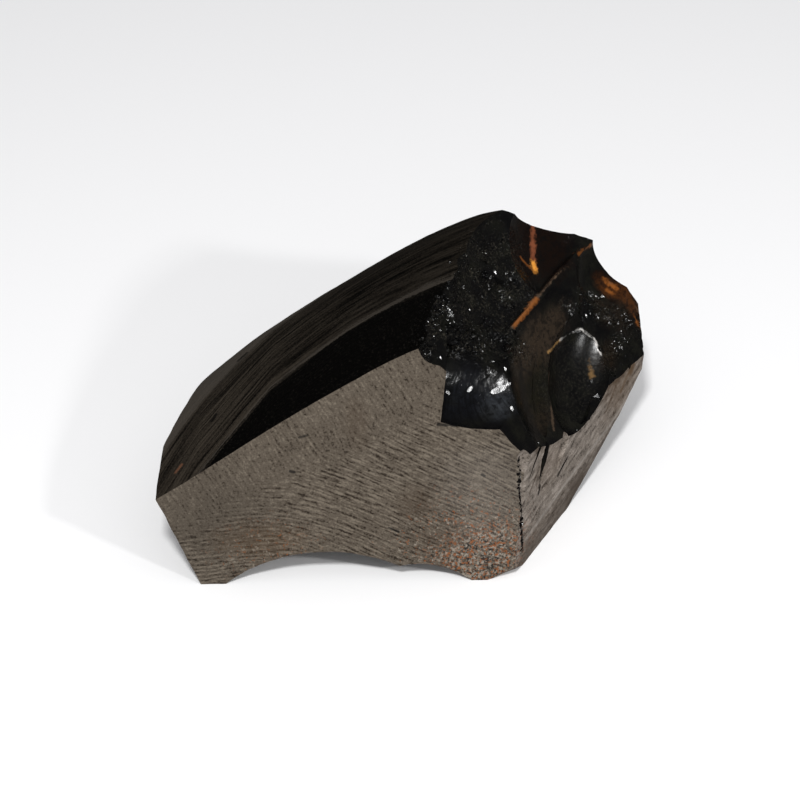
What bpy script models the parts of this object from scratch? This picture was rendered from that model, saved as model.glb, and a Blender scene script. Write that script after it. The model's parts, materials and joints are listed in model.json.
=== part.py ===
"""A broken lump of shungite, one solid, resting on its worn underside.

The lump is a rounded nodule (a coarse cage under Subdivision Surface) that has been split:
a flat ribbed front, a flat right side, a steep left end, and a broken end at the upper right
whose hollows are shell-shaped (conchoidal).  Every length below is in millimetres; the
objects are made in metres.  +Z is up and the front faces -Y.
"""

import math

import bmesh
import bpy
from mathutils import Matrix, Vector

MM = 0.001

# This point of the floor is the middle of the stone's footprint, and becomes the origin.
MIDDLE = Vector((1.42, 8.02, 0.0))

# Rails of the nodule: (x, y, z) along the stone from its left end to its right end.
ROOF_FRONT = [(-50, -30, 5.5), (-40, -30, 11.5), (-30, -30, 17.5), (-19, -30, 25), (-8, -30, 32),
              (3, -30, 38.5), (14, -30, 40), (28, -30, 38), (44, -30, 36)]
ROOF_BACK = [(-50, -6, 6), (-40, -4, 12), (-30, -1, 18.5), (-19, 2, 26), (-8, 4, 32.5),
             (3, 6, 38.5), (14, 10, 41), (28, 14, 40.5), (44, 16, 38)]
RIM = [(-48, 0, 3), (-39, 6, 10), (-30, 13, 17), (-19, 19.5, 23), (-8, 23, 29.5),
       (3, 25.5, 36.7), (14, 28, 41), (30, 35, 41), (46, 34, 36)]
BELLY = [(-46, 0, -1), (-38, 6, 4), (-29, 15, 9), (-18, 23, 12), (-7, 27, 13),
         (4, 30, 14), (15, 33, 15), (30, 39, 15), (46, 36, 13)]
HEEL = [(-46, -4, -8), (-38, 0, -8), (-28, 8, -8), (-17, 16, -8), (-6, 21, -8),
        (5, 24, -8), (16, 26, -8), (30, 28, -8), (44, 26, -8)]
TOE = [(x, -30, -8) for x, _, _ in HEEL]
NODULE_LEVELS = 2

# A flat break: a point on it, and the way it faces (turn from -Y towards +X, lean upwards).
FRONT = dict(point=(-29.1, -18.9, 0), turn=1.2, lean=14)
RIGHT = dict(point=(18.3, -12.9, 20.2), turn=58, lean=4.3)
RIGHT_FOOT = dict(point=(19.2, -14.1, 3.5), turn=59.5, lean=-4.5)
RIGHT_HEEL = dict(point=(26, -2, 0), turn=148, lean=-64)
LEFT_END = dict(point=(-29.6, -18.9, 0), turn=-92, lean=-24)
LEFT_HEEL = dict(point=(-33.6, 1.3, 15), turn=-110, lean=-12)
BACK = dict(point=(16.6, 22.7, 38.4), turn=183, lean=32.4)
BACK_RIGHT = dict(point=(30.8, 30.2, 27.7), turn=140, lean=10)
TOE_BEVEL = dict(point=(17.2, -16.9, 1.6), turn=30, lean=-35)
RIGHT_END = dict(point=(38.6, 20, 16), turn=97, lean=-6)
BROKEN_END = dict(point=(18, -12.9, 20.2), turn=65.5, lean=41.4)
FLOOR = dict(point=(0, 0, 0), turn=0, lean=-90)


def facing(turn, lean):
    """The unit vector that a flat break faces."""
    turn, lean = math.radians(turn), math.radians(lean)
    return Vector((math.sin(turn) * math.cos(lean), -math.cos(turn) * math.cos(lean), math.sin(lean)))


# Frame of the broken end: hollows are placed by mm along it (u, level, to the back right),
# mm up it (v) and mm deep.
END_NORMAL = facing(BROKEN_END["turn"], BROKEN_END["lean"])
END_U = Vector((0, 0, 1)).cross(END_NORMAL).normalized()
END_V = END_NORMAL.cross(END_U)
END_MIDDLE = Vector((21.9, 8.8, 26.4))

# Shell-shaped hollows of the broken end: middle (u, v), depth below the end's plane, and
# the half width and half height of the mouth, turned by spin.  A keep entry (point, angle)
# ends the hollow at a straight wall: the hollow stays on the side the angle points to.
HOLLOWS = {
    "upper_left": dict(at=(2.2, 14.6), depth=1.5, mouth=(7.5, 6.5), spin=20, keep=[]),
    "middle_left": dict(at=(-5.5, 9.9), depth=2.1, mouth=(10, 7.5), spin=0, keep=[((8.5, 3.7), 85)]),
    "back_wall": dict(at=(11.8, 7.2), depth=2.7, mouth=(8.8, 7.8), spin=-15, keep=[((8.5, 3.7), 85)]),
    "back_edge": dict(at=(19.6, -3.0), depth=3.0, mouth=(7.2, 5.4), spin=0, keep=[((8.5, 2.9), -95)]),
    "glinting": dict(at=(12.0, -6.5), depth=1.7, mouth=(6.0, 4.6), spin=30, keep=[]),
    "outer_shell": dict(at=(-3.5, -5.6), depth=2.8, mouth=(14.8, 10.6), spin=24, keep=[((8.5, 2.9), -95)]),
    "inner_shell": dict(at=(0.2, -9.3), depth=4.4, mouth=(11.6, 6.3), spin=26, keep=[]),
    "right_corner": dict(at=(10.5, -11.8), depth=1.2, mouth=(5.0, 3.5), spin=30, keep=[]),
    "left_lip": dict(at=(-15.8, 15.2), depth=1.2, mouth=(3.6, 2.2), spin=60, keep=[]),
    "splintered": dict(at=(-11.8, 6.6), depth=1.9, mouth=(7.5, 3.5), spin=-35, keep=[]),
}
# The deep hollow at the lower left of the broken end, which bites into the front: a long
# ball, turned a little and dipping to the right, with a straight wall on its left.
FRONT_BITE = dict(centre=(12.6, -10.2, 33.7), radii=(15.0, 9.4, 9.4), turn=5, dip=4, wall=(5.7, -11, 24.5),
                  wall_facing=(92, -6))

# Small scars along the edges: middle, the way the scar faces, depth, and the half length
# and half width of its mouth, turned by spin.
SCARS = {
    "right_scar_top": dict(at=(25.8, -1.2, 18.4), way=(58, 10), depth=0.9, mouth=(4.2, 1.7), spin=20),
    "right_scar_middle": dict(at=(24.7, -3.4, 14.6), way=(58, 4.3), depth=0.5, mouth=(3.9, 1.3), spin=45),
    "right_scar_low": dict(at=(20.9, -9.5, 14.6), way=(58, 4.3), depth=0.5, mouth=(3.4, 1.2), spin=72),
    "corner_top": dict(at=(18.2, -13.1, 19.2), way=(40, 20), depth=0.9, mouth=(2.0, 1.5), spin=80),
    "corner_middle": dict(at=(18.3, -14.2, 14.0), way=(30, 9), depth=0.6, mouth=(2.6, 1.1), spin=90),
    "corner_low": dict(at=(18.5, -15.3, 8.0), way=(30, 9), depth=0.6, mouth=(3.0, 1.1), spin=90),
    "roof_edge_back": dict(at=(9.7, 8.6, 39.3), way=(58, 71), depth=0.6, mouth=(2.8, 1.8), spin=60),
    "roof_edge_middle": dict(at=(6.9, 2.2, 39.1), way=(58, 71), depth=0.5, mouth=(2.2, 1.6), spin=60),
    "roof_edge_front": dict(at=(4.1, -4.6, 38.1), way=(58, 65), depth=0.5, mouth=(2.4, 1.5), spin=70),
    "front_tip": dict(at=(4.6, -8.8, 36.0), way=(30, 35), depth=0.9, mouth=(2.4, 1.5), spin=-45),
}

# The worn arch of the underside, in two lobes that fade out towards the back.
ARCH = [dict(centre=(-11.0, -22, -14), radii=(22.0, 46, 19.2)),
        dict(centre=(2.8, -21, -9.6), radii=(12.5, 34, 12.5))]
BALL_SEGMENTS = 40
SCAR_SEGMENTS = 20


def collection(name):
    made = bpy.data.collections.new(name)
    bpy.context.scene.collection.children.link(made)
    return made


def new_object(name, bm, place, owner):
    mesh = bpy.data.meshes.new(name)
    bm.to_mesh(mesh)
    bm.free()
    made = bpy.data.objects.new(name, mesh)
    made.matrix_world = place
    owner.objects.link(made)
    return made


def nodule(owner):
    """The unbroken stone: a tube through the rails, closed at both ends and smoothed."""
    rails = [ROOF_FRONT, ROOF_BACK, RIM, BELLY, HEEL, TOE]
    bm = bmesh.new()
    rings = [[bm.verts.new(Vector(rail[i]) * MM) for rail in rails] for i in range(len(RIM))]
    for one, two in zip(rings, rings[1:]):
        for j in range(len(rails)):
            k = (j + 1) % len(rails)
            bm.faces.new((one[j], one[k], two[k], two[j]))
    bm.faces.new(reversed(rings[0]))
    bm.faces.new(rings[-1])
    bmesh.ops.recalc_face_normals(bm, faces=bm.faces)
    stone = new_object("shungite", bm, Matrix.Translation(-MIDDLE * MM), owner)
    smooth = stone.modifiers.new("rounding", "SUBSURF")
    smooth.levels = smooth.render_levels = NODULE_LEVELS
    return stone


def slab_cutter(name, owner, point, turn, lean, across=160, thick=60):
    """A thick slab whose lower face is the flat break: it takes away all that lies in front."""
    bm = bmesh.new()
    bmesh.ops.create_cube(bm, size=1, matrix=Matrix.Diagonal((across * MM, across * MM, thick * MM, 1)))
    normal = facing(turn, lean)
    turned = normal.to_track_quat("Z", "Y").to_matrix().to_4x4()
    centre = Vector(point) - MIDDLE + normal * thick / 2
    return new_object(name, bm, Matrix.Translation(centre * MM) @ turned, owner)


def ball(centre, radii, axes=Matrix.Identity(3), segments=BALL_SEGMENTS):
    """A bmesh ball, stretched by its radii along the axes, in mm about MIDDLE."""
    bm = bmesh.new()
    place = Matrix.Translation(Vector(centre) - MIDDLE) @ axes.to_4x4() @ Matrix.Diagonal((*radii, 1))
    bmesh.ops.create_uvsphere(bm, u_segments=segments, v_segments=segments // 2, radius=1,
                              matrix=Matrix.Scale(MM, 4) @ place)
    return bm


def shell_ball(at, normal, along, depth, mouth, spin, segments=BALL_SEGMENTS):
    """A ball that leaves a hollow of this depth and mouth in the flat through at."""
    across, tall = mouth
    radius = tall**2 / (2 * depth) + depth / 2
    turned = Matrix.Rotation(math.radians(spin), 3, normal)
    axes = Matrix((turned @ along, turned @ normal.cross(along), normal)).transposed()
    centre = at + normal * (radius - depth)
    return ball(centre, (radius * across / tall, radius, radius), axes, segments)


def end_at_wall(bm, point, side):
    """Takes off what lies on the far side of a straight wall, and closes the cut."""
    geometry = bm.verts[:] + bm.edges[:] + bm.faces[:]
    made = bmesh.ops.bisect_plane(bm, geom=geometry, plane_co=(Vector(point) - MIDDLE) * MM,
                                  plane_no=side, clear_inner=True)
    edges = [e for e in made["geom_cut"] if isinstance(e, bmesh.types.BMEdge)]
    bmesh.ops.holes_fill(bm, edges=edges)


def hollow_cutter(name, owner, at, depth, mouth, spin, keep):
    middle = END_MIDDLE + END_U * at[0] + END_V * at[1]
    bm = shell_ball(middle, END_NORMAL, END_U, depth, mouth, spin)
    for (u, v), angle in keep:
        side = END_U * math.cos(math.radians(angle)) + END_V * math.sin(math.radians(angle))
        end_at_wall(bm, END_MIDDLE + END_U * u + END_V * v, side)
    return new_object(name, bm, Matrix.Identity(4), owner)


def scar_cutter(name, owner, at, way, depth, mouth, spin):
    normal = facing(*way)
    along = Vector((0, 0, 1)).cross(normal).normalized()
    bm = shell_ball(Vector(at), normal, along, depth, mouth, spin, SCAR_SEGMENTS)
    return new_object(name, bm, Matrix.Identity(4), owner)


def front_bite_cutter(owner):
    turned = Matrix.Rotation(math.radians(FRONT_BITE["turn"]), 3, "Z")
    dipped = Matrix.Rotation(math.radians(FRONT_BITE["dip"]), 3, "Y")
    bm = ball(FRONT_BITE["centre"], FRONT_BITE["radii"], turned @ dipped)
    end_at_wall(bm, FRONT_BITE["wall"], facing(*FRONT_BITE["wall_facing"]))
    return new_object("front_bite", bm, Matrix.Identity(4), owner)


def cut(stone, cutters):
    for cutter in cutters:
        cutter.hide_render = True
        cutter.display_type = "WIRE"
        step = stone.modifiers.new(cutter.name, "BOOLEAN")
        step.operation = "DIFFERENCE"
        step.object = cutter


def shungite_material():
    made = bpy.data.materials.new("shungite")
    made.use_nodes = True
    shader = made.node_tree.nodes["Principled BSDF"]
    shader.inputs["Base Color"].default_value = (0.028, 0.026, 0.024, 1)
    shader.inputs["Roughness"].default_value = 0.3
    shader.inputs["Metallic"].default_value = 0.0
    return made


def main():
    for old in list(bpy.data.objects):
        bpy.data.objects.remove(old)
    parts = collection("shungite")
    cutters = collection("cutters")
    stone = nodule(parts)
    stone.data.materials.append(shungite_material())
    breaks = dict(front=FRONT, right=RIGHT, right_foot=RIGHT_FOOT, right_heel=RIGHT_HEEL,
                  toe_bevel=TOE_BEVEL, left_end=LEFT_END, left_heel=LEFT_HEEL, back=BACK,
                  back_right=BACK_RIGHT, right_end=RIGHT_END, broken_end=BROKEN_END, floor=FLOOR)
    cut(stone, [slab_cutter(name, cutters, **where) for name, where in breaks.items()])
    cut(stone, [hollow_cutter(name, cutters, **what) for name, what in HOLLOWS.items()])
    cut(stone, [front_bite_cutter(cutters)])
    cut(stone, [scar_cutter(name, cutters, **what) for name, what in SCARS.items()])
    arch = [new_object(f"arch_{i}", ball(**lobe), Matrix.Identity(4), cutters) for i, lobe in enumerate(ARCH)]
    cut(stone, arch)


main()
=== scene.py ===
import contextlib
import json
import math
import random

import bpy
from mathutils import Matrix, Vector

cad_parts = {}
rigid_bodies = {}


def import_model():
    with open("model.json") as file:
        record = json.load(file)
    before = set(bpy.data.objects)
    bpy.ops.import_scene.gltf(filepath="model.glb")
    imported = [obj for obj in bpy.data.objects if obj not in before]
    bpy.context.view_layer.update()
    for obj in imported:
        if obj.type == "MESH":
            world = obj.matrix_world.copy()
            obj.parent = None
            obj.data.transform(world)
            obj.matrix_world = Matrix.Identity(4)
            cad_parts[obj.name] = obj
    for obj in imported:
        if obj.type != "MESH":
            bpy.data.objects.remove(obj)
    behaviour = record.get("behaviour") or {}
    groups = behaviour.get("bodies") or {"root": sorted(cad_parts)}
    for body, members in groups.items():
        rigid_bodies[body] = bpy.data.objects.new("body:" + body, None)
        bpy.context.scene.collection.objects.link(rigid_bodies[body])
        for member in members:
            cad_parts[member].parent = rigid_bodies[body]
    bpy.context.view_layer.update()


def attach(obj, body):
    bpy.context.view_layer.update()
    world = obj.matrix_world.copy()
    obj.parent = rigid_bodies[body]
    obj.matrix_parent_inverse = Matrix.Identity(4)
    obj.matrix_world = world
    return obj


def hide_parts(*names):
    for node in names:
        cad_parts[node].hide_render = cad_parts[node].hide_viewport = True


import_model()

# The stone's sizes are in millimetres, with its front towards -Y.  The mesh is in metres, so
# points and lengths go through these two on their way to it.  The studio's are in metres.
mm = 0.001
footprintMiddle = Vector((1.42, 8.02, 0.0))


def toScene(point):
    return (Vector(point) - footprintMiddle) * mm


def facing(turn, lean):
    # turn goes from -Y towards +X, lean goes upwards
    turn, lean = math.radians(turn), math.radians(lean)
    return Vector((math.sin(turn) * math.cos(lean), -math.cos(turn) * math.cos(lean), math.sin(lean)))


def selectOnly(piece):
    bpy.ops.object.select_all(action="DESELECT")
    piece.select_set(True)
    bpy.context.view_layer.objects.active = piece


def applyModifiers(piece):
    selectOnly(piece)
    for modifier in list(piece.modifiers):
        bpy.ops.object.modifier_apply(modifier=modifier.name)


def applyPlace(piece):
    selectOnly(piece)
    bpy.ops.object.transform_apply(location=True, rotation=True, scale=True)


def newPiece(add, **settings):
    # adds a piece, and leaves nothing else selected
    bpy.ops.object.select_all(action="DESELECT")
    add(**settings)
    return bpy.context.object


@contextlib.contextmanager
def editing():
    bpy.ops.object.mode_set(mode="EDIT")
    yield
    bpy.ops.object.mode_set(mode="OBJECT")


def setDown(piece, centre, axes, radii):
    # stretches a piece of radius 1, turns it onto the axes and moves it to its centre
    stretch = Matrix.Diagonal((*[radius * mm for radius in radii], 1))
    piece.matrix_world = Matrix.Translation(toScene(centre)) @ axes.to_4x4() @ stretch
    applyPlace(piece)


def moveTo(piece, owner):
    for old in list(piece.users_collection):
        old.objects.unlink(piece)
    if owner:
        owner.objects.link(piece)


def finishWith(piece, look, owner):
    piece.data.materials.append(look)
    moveTo(piece, owner)


# The unbroken nodule: six rails along the stone, from its left end to its right end.

nodule = {
    "rails": [
        [(-50, -30, 5.5), (-40, -30, 11.5), (-30, -30, 17.5), (-19, -30, 25), (-8, -30, 32),
         (3, -30, 38.5), (14, -30, 40), (28, -30, 38), (44, -30, 36)],
        [(-50, -6, 6), (-40, -4, 12), (-30, -1, 18.5), (-19, 2, 26), (-8, 4, 32.5),
         (3, 6, 38.5), (14, 10, 41), (28, 14, 40.5), (44, 16, 38)],
        [(-48, 0, 3), (-39, 6, 10), (-30, 13, 17), (-19, 19.5, 23), (-8, 23, 29.5),
         (3, 25.5, 36.7), (14, 28, 41), (30, 35, 41), (46, 34, 36)],
        [(-46, 0, -1), (-38, 6, 4), (-29, 15, 9), (-18, 23, 12), (-7, 27, 13),
         (4, 30, 14), (15, 33, 15), (30, 39, 15), (46, 36, 13)],
        [(-46, -4, -8), (-38, 0, -8), (-28, 8, -8), (-17, 16, -8), (-6, 21, -8),
         (5, 24, -8), (16, 26, -8), (30, 28, -8), (44, 26, -8)],
        [(-46, -30, -8), (-38, -30, -8), (-28, -30, -8), (-17, -30, -8), (-6, -30, -8),
         (5, -30, -8), (16, -30, -8), (30, -30, -8), (44, -30, -8)],
    ],
    "rounding": 5,
    "swell": 0.25,         # soft lumps of the skin, and how wide they are
    "swellSize": 7.0,
    "grit": 0.05,
    "gritSize": 1.2,
    "streakBend": 0.14,    # how far the streaks of the skin turn down towards the left end
    "streakBendFrom": 3.9,     # the ring where they begin to
}


def makeNodule(settings, look):
    # a ring of six points, pulled out ring by ring, then set on the rails
    rails = settings["rails"]
    turn = (0, math.pi / 2, 0)
    stone = newPiece(bpy.ops.mesh.primitive_circle_add, vertices=len(rails), radius=1, rotation=turn)
    applyPlace(stone)
    with editing():
        for _ in rails[0][1:]:
            bpy.ops.mesh.extrude_region_move(TRANSFORM_OT_translate={"value": (1, 0, 0)})
    places = []
    for vertex in stone.data.vertices:
        ring = round(vertex.co.x)
        rail = round(math.atan2(vertex.co.z, vertex.co.y) / (math.tau / len(rails))) % len(rails)
        vertex.co = toScene(rails[rail][ring])
        bend = settings["streakBend"] * max(0, settings["streakBendFrom"] - ring)**2
        places.append((rail + bend, ring))
    closeEnds()
    keepPlaces(stone, places)
    smooth = stone.modifiers.new("rounding", "SUBSURF")
    smooth.levels = smooth.render_levels = settings["rounding"]
    roughen(stone, settings["swell"], settings["swellSize"])
    roughen(stone, settings["grit"], settings["gritSize"])
    applyModifiers(stone)
    stone.data.materials.append(look)
    stone.name = stone.data.name = "stone"
    return stone


def closeEnds():
    with editing():
        bpy.ops.mesh.select_all(action="DESELECT")
        bpy.ops.mesh.select_non_manifold()
        bpy.ops.mesh.edge_face_add()
        bpy.ops.mesh.select_all(action="SELECT")
        bpy.ops.mesh.normals_make_consistent(inside=False)


def keepPlaces(stone, places):
    # kept at the corners of the faces, because the cuts carry those values to their new edges
    around = stone.data.attributes.new("around", "FLOAT", "CORNER")
    along = stone.data.attributes.new("along", "FLOAT", "CORNER")
    for corner in stone.data.loops:
        around.data[corner.index].value, along.data[corner.index].value = places[corner.vertex_index]


def displace(piece, texture, height):
    step = piece.modifiers.new("relief", "DISPLACE")
    step.texture = texture
    step.texture_coords = "GLOBAL"
    step.strength = height * mm
    step.mid_level = 0.5
    return step


def roughen(piece, height, size):
    # adds a Displace of cloud noise: height is from hollow to crest, size is a lump's width
    texture = bpy.data.textures.new(f"clouds{size}", "CLOUDS")
    texture.noise_scale = size * mm
    texture.noise_depth = 2
    texture.noise_basis = "ORIGINAL_PERLIN"
    displace(piece, texture, height)


def roughenTwice(piece, height, size, finer):
    # the second noise is this much lower and finer
    roughen(piece, height, size)
    roughen(piece, height * finer, size * finer)


ringWidth = 0.314    # of the wood texture at its own size


def ripple(piece, height, spacing, strike):
    # rings about the strike point, as in broken glass
    texture = bpy.data.textures.new("rings", "WOOD")
    texture.wood_type = "RINGNOISE"
    texture.noise_basis_2 = "SIN"
    texture.turbulence = 2.2
    texture.noise_scale = 0.9
    centre = newPiece(bpy.ops.object.empty_add, location=toScene(strike))
    centre.scale = (spacing * mm / ringWidth,) * 3
    bpy.context.view_layer.update()
    step = displace(piece, texture, height)
    step.texture_coords = "OBJECT"
    step.texture_coords_object = centre
    return centre


# The flat breaks.  Each has a point on it, the turn and lean of the way that it faces, its
# size and grid, its surface, and the height and width of its roughness.
flatBreaks = {
    "front": ((-29.1, -18.9, 0), (1.2, 14), (112, 84), 0.5, "ribbed", (0.10, 2.5)),
    "right": ((18.3, -12.9, 20.2), (58, 4.3), (96, 84), 0.5, "grained", (0.16, 2.5)),
    "rightFoot": ((19.2, -14.1, 3.5), (59.5, -4.5), (110, 84), 0.6, "grained", (0.25, 2.5)),
    "rightHeel": ((26, -2, 0), (148, -64), (120, 120), 1.0, "dull", (0.5, 4)),
    "toeBevel": ((17.2, -16.9, 1.6), (30, -35), (120, 120), 0.6, "grained", (0.3, 2)),
    "leftEnd": ((-29.6, -18.9, 0), (-92, -24), (120, 100), 0.6, "dull", (0.5, 5)),
    "leftHeel": ((-33.6, 1.3, 15), (-110, -12), (120, 100), 0.7, "dull", (0.7, 5)),
    "back": ((16.6, 22.7, 38.4), (183, 32.4), (120, 100), 0.7, "dull", (0.4, 5)),
    "backRight": ((30.8, 30.2, 27.7), (140, 10), (110, 90), 0.7, "dull", (0.5, 4)),
    "rightEnd": ((38.6, 20, 16), (97, -6), (110, 90), 0.6, "dull", (0.4, 3)),
    "brokenEnd": ((18, -12.9, 20.2), (65.5, 41.4), (90, 70), 0.4, "gloss", (0.5, 2.5)),
    "floorSide": ((0, 0, 0), (0, -90), (130, 130), 2.0, "dull", (0, 0)),
}
breakThickness = 60


def makeSlab(name, point, normal, size, grid, roughness, thickness):
    # a grid on the break, roughened, then pulled out into a slab that takes the rest away
    across, tall = size
    slab = newPiece(bpy.ops.mesh.primitive_grid_add, x_subdivisions=round(across / grid),
                    y_subdivisions=round(tall / grid), size=1, location=toScene(point),
                    rotation=normal.to_track_quat("Z", "Y").to_euler())
    slab.name = name
    slab.scale = (across * mm, tall * mm, 1)
    applyPlace(slab)
    if roughness[0]:
        roughenTwice(slab, *roughness, finer=0.3)
        applyModifiers(slab)
    with editing():
        bpy.ops.mesh.select_all(action="SELECT")
        bpy.ops.mesh.extrude_region_move(TRANSFORM_OT_translate={"value": normal * thickness * mm})
        bpy.ops.mesh.select_all(action="SELECT")
        bpy.ops.mesh.normals_make_consistent(inside=False)
    return slab


def makeFlatBreak(name, row, looks, owner):
    point, way, size, grid, surface, roughness = row
    slab = makeSlab(name, point, facing(*way), size, grid, roughness, breakThickness)
    finishWith(slab, looks[surface], owner)


# The broken end: its frame, and the shell-shaped hollows in it.

endNormal = facing(65.5, 41.4)
endAlong = Vector((0, 0, 1)).cross(endNormal).normalized()   # level, to the back right
endUp = endNormal.cross(endAlong)
endMiddle = Vector((21.9, 8.8, 26.4))


def onEnd(u, v, w=0.0):
    return endMiddle + endAlong * u + endUp * v + endNormal * w


# A wall is a point and an angle: the hollow stays on the side that the angle points to.
ridgeTop = ((8.5, 3.7), 85)
ridgeFoot = ((8.5, 2.9), -95)
# Middle along, up and in one case out of the broken end, depth, half width and half height of
# the mouth, spin, wall, where the ripples start, the height of the ripples and the roughness.
hollows = {
    "upperLeft": ((2.2, 14.6), 1.5, (7.5, 6.5), 20, None, (12, 18), 0.017, 0.3),
    "middleLeft": ((-5.5, 9.9), 2.1, (10, 7.5), 0, ridgeTop, (8, 4), 0.021, 0.35),
    "backWall": ((11.8, 7.2), 2.7, (8.8, 7.8), -15, ridgeTop, (8, 4), 0.008, 0.12),
    "backEdge": ((19.6, -3.0), 3.0, (7.2, 5.4), 0, ridgeFoot, (24, 2), 0.010, 0.15),
    "glinting": ((12.0, -6.5), 1.7, (6.0, 4.6), 30, None, (16, -2), 0.018, 0.25),
    "outerShell": ((-3.5, -5.6), 2.8, (14.8, 10.6), 24, ridgeFoot, (12, 2), 0.022, 0.10),
    "innerShell": ((0.2, -9.3), 4.4, (11.6, 6.3), 26, None, (12, -4), 0.012, 0.08),
    "rightCorner": ((10.5, -11.8), 1.2, (5.0, 3.5), 30, None, (16, -10), 0.010, 0.15),
    "lens": ((-6.4, -5.6, -2.3), 0.9, (7.2, 1.7), 31, None, (0, -2), 0.0, 0.06),
    "leftLip": ((-15.8, 15.2), 1.2, (3.6, 2.2), 60, None, (-14, 18), 0.017, 0.15),
    "splintered": ((-11.8, 6.6), 1.9, (7.5, 3.5), -35, None, (-6, 6), 0.017, 0.4),
}

# The deep hollow at the lower left of the broken end, which bites into the front: a long
# ball with a straight wall on its left.
frontBite = {
    "centre": (12.6, -10.2, 33.7), "radii": (15.0, 9.4, 9.4), "turn": 5, "dip": 4,
    "wall": (5.7, -11, 24.5), "wallFacing": (92, -6),
    "strike": (6, -8, 38), "ripple": 0.025, "rough": 0.12,
}

# Surface, point, the turn and lean of the way that it faces, depth, mouth and spin.
scars = {
    "rightTop": ("grained", (25.8, -1.2, 18.4), (58, 10), 0.9, (4.2, 1.7), 20),
    "rightMiddle": ("grained", (24.7, -3.4, 14.6), (58, 4.3), 0.5, (3.9, 1.3), 45),
    "rightLow": ("grained", (20.9, -9.5, 14.6), (58, 4.3), 0.5, (3.4, 1.2), 72),
    "cornerTop": ("grained", (18.2, -13.1, 19.2), (40, 20), 0.9, (2.0, 1.5), 80),
    "cornerMiddle": ("grained", (18.3, -14.2, 14.0), (30, 9), 0.6, (2.6, 1.1), 90),
    "cornerLow": ("grained", (18.5, -15.3, 8.0), (30, 9), 0.6, (3.0, 1.1), 90),
    "roofBack": ("gloss", (9.7, 8.6, 39.3), (58, 71), 0.6, (2.8, 1.8), 60),
    "roofMiddle": ("gloss", (6.9, 2.2, 39.1), (58, 71), 0.5, (2.2, 1.6), 60),
    "roofFront": ("gloss", (4.1, -4.6, 38.1), (58, 65), 0.5, (2.4, 1.5), 70),
    "frontTip": ("gloss", (4.6, -8.8, 36.0), (30, 35), 0.9, (2.4, 1.5), -45),
}

# The worn arch of the underside: the centre and radii of its two lobes, which fade out
# towards the back.
arch = [((-11.0, -22, -14), (22.0, 46, 19.2)), ((2.8, -21, -9.6), (12.5, 34, 12.5))]


def ballBlank(segments):
    # a ball of each fineness is made once, kept out of the scene, and copied
    name = f"ballBlank{segments}"
    if name not in bpy.data.objects:
        ball = bpy.ops.mesh.primitive_uv_sphere_add
        blank = newPiece(ball, segments=segments, ring_count=segments // 2)
        with editing():
            bpy.ops.mesh.select_all(action="DESELECT")
        blank.name = name
        moveTo(blank, None)
    return bpy.data.objects[name]


def makeBall(name, centre, radii, axes=Matrix.Identity(3), segments=160, lid=None):
    # lid is the height, in radii above the middle, over which the ball is cut off level
    blank = ballBlank(segments)
    ball = blank.copy()
    ball.data = blank.data.copy()
    ball.name = name
    bpy.context.scene.collection.objects.link(ball)
    selectOnly(ball)
    if lid is not None:
        for vertex in ball.data.vertices:
            vertex.select = vertex.co.z > lid
        with editing():
            bpy.ops.mesh.delete(type="VERT")
            bpy.ops.mesh.select_non_manifold()
            bpy.ops.mesh.edge_face_add()
    setDown(ball, centre, axes, radii)
    return ball


lidHeight = 5.0    # how far a hollow's ball reaches out of the stone, in millimetres,
highestLid = 0.98  # or at most in radii from its middle


def makeShell(name, at, normal, sideways, depth, mouth, spin, segments):
    # a ball that leaves a hollow of this depth and mouth in the flat through at
    across, tall = mouth
    radius = tall**2 / (2 * depth) + depth / 2
    turned = Matrix.Rotation(math.radians(spin), 3, normal)
    axes = Matrix((turned @ sideways, turned @ normal.cross(sideways), normal)).transposed()
    lid = min((lidHeight + depth) / radius - 1, highestLid)
    radii = (radius * across / tall, radius, radius)
    return makeBall(name, at + normal * (radius - depth), radii, axes, segments, lid)


wallSize, wallGrid, wallRoughness, wallThickness = (60, 60), 0.4, (0.15, 1.5), 40


def endAtWall(piece, point, side, look):
    # takes off what lies on the far side of a straight, slightly rough wall
    wall = makeSlab("wall", point, -side, wallSize, wallGrid, wallRoughness, wallThickness)
    cut = newCutters("wall")
    finishWith(wall, look, cut)
    cutAway(piece, cut)


rippleSpacing = 0.9


def finishBall(piece, look, rough, roughSize=3.0, rippleHeight=0, strike=None):
    roughenTwice(piece, rough, roughSize, finer=0.25)
    centre = ripple(piece, rippleHeight, rippleSpacing, strike) if rippleHeight else None
    applyModifiers(piece)
    if centre:
        bpy.data.objects.remove(centre)
    piece.data.materials.append(look)


def makeHollow(name, row, look, owner):
    at, depth, mouth, spin, wall, strike, rippleHeight, rough = row
    piece = makeShell(name, onEnd(*at), endNormal, endAlong, depth, mouth, spin, segments=200)
    finishBall(piece, look, rough, rippleHeight=rippleHeight, strike=onEnd(*strike))
    if wall:
        point, angle = wall
        side = endAlong * math.cos(math.radians(angle)) + endUp * math.sin(math.radians(angle))
        endAtWall(piece, onEnd(*point), side, look)
    moveTo(piece, owner)


def makeFrontBite(what, look, owner):
    turn = Matrix.Rotation(math.radians(what["turn"]), 3, "Z")
    dip = Matrix.Rotation(math.radians(what["dip"]), 3, "Y")
    piece = makeBall("frontBite", what["centre"], what["radii"], turn @ dip, segments=256)
    finishBall(piece, look, what["rough"], rippleHeight=what["ripple"], strike=what["strike"])
    endAtWall(piece, what["wall"], facing(*what["wallFacing"]), look)
    moveTo(piece, owner)


def makeScar(name, row, looks, owner):
    surface, at, way, depth, mouth, spin = row
    normal = facing(*way)
    sideways = Vector((0, 0, 1)).cross(normal).normalized()
    piece = makeShell(name, Vector(at), normal, sideways, depth, mouth, spin, segments=64)
    finishBall(piece, looks[surface], rough=0.4, roughSize=1.0)
    moveTo(piece, owner)


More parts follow.
